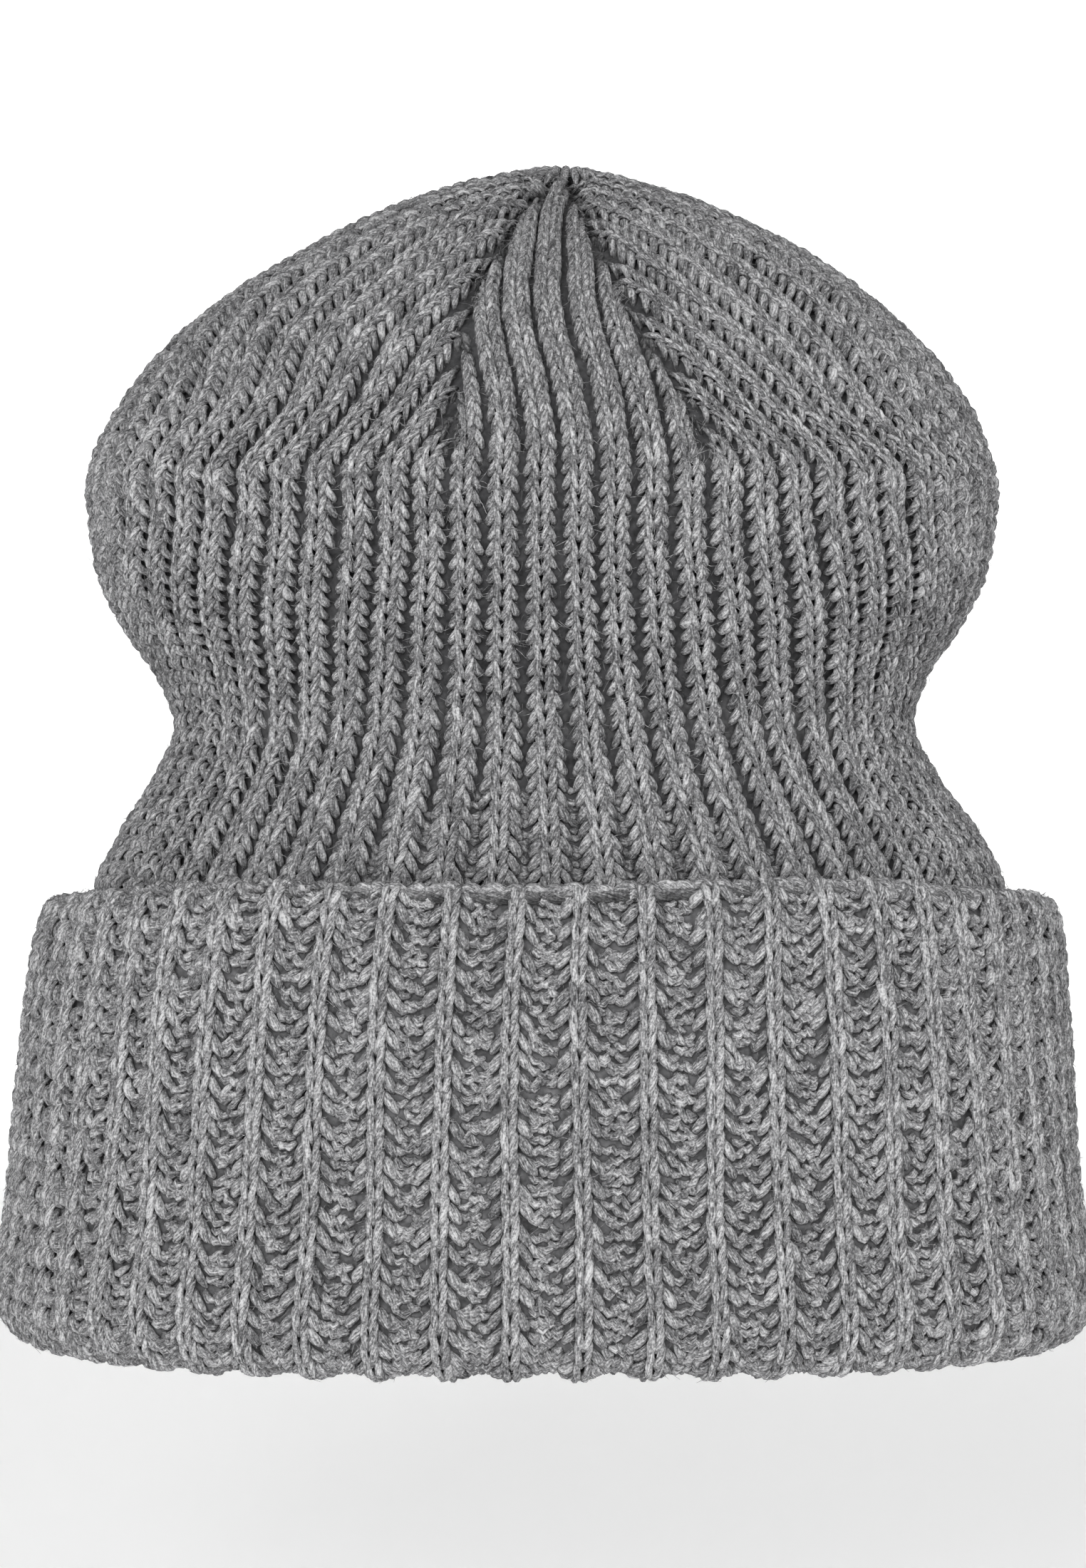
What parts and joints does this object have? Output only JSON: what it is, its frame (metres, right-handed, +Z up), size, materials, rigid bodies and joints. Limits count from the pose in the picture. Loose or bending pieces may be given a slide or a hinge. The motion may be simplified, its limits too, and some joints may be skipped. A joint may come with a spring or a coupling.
{
  "type": "knit beanie",
  "caption": "Chunky rib-knit beanie with a deep turned-up cuff, a crown closed by darts and a sewn-in label; it keeps the head warm.",
  "frame": {"origin": "centre of the head opening, in the plane of the turned rim, where the head enters", "axes": "+Z up from the opening to the crown, -Y the front that shows in use, +X the wearer's left"},
  "size_m": [0.1894, 0.1394, 0.2004],
  "materials": {
    "knit": "heather grey brushed acrylic and wool yarn, half-cardigan rib, matt with a soft fuzz",
    "knit_cuff": "the same yarn showing the reverse of the rib, matt with a soft fuzz",
    "seam_thread": "the same grey yarn in overlocked and linked stitches",
    "label_satin": "blank white satin tape"
  },
  "bodies": {
    "hat": {"body_tube": "knit", "crown_front_gore": "knit", "crown_right_gore": "knit", "crown_back_gore": "knit", "crown_left_gore": "knit", "crown_tack": "seam_thread", "dart_seam_front_left": "seam_thread", "dart_seam_front_right": "seam_thread", "dart_seam_back_left": "seam_thread", "dart_seam_back_right": "seam_thread", "back_seam": "seam_thread", "label_stitches": "seam_thread"},
    "cuff_body": {"cuff": "knit_cuff", "cuff_bound_edge": "knit_cuff", "cuff_seam": "seam_thread"},
    "label": {"care_label": "label_satin"}
  },
  "joints": [
    {"name": "cuff_turn_down", "type": "slide", "parent": "hat", "child": "cuff_body", "axis": [0, 0, -1], "range_m": [0, 0.062]},
    {"name": "label_flip", "type": "hinge", "parent": "hat", "child": "label", "pos_m": [0, 0.04884, 0.06], "axis": [-1, 0, 0], "range_deg": [0, 90]}
  ]
}
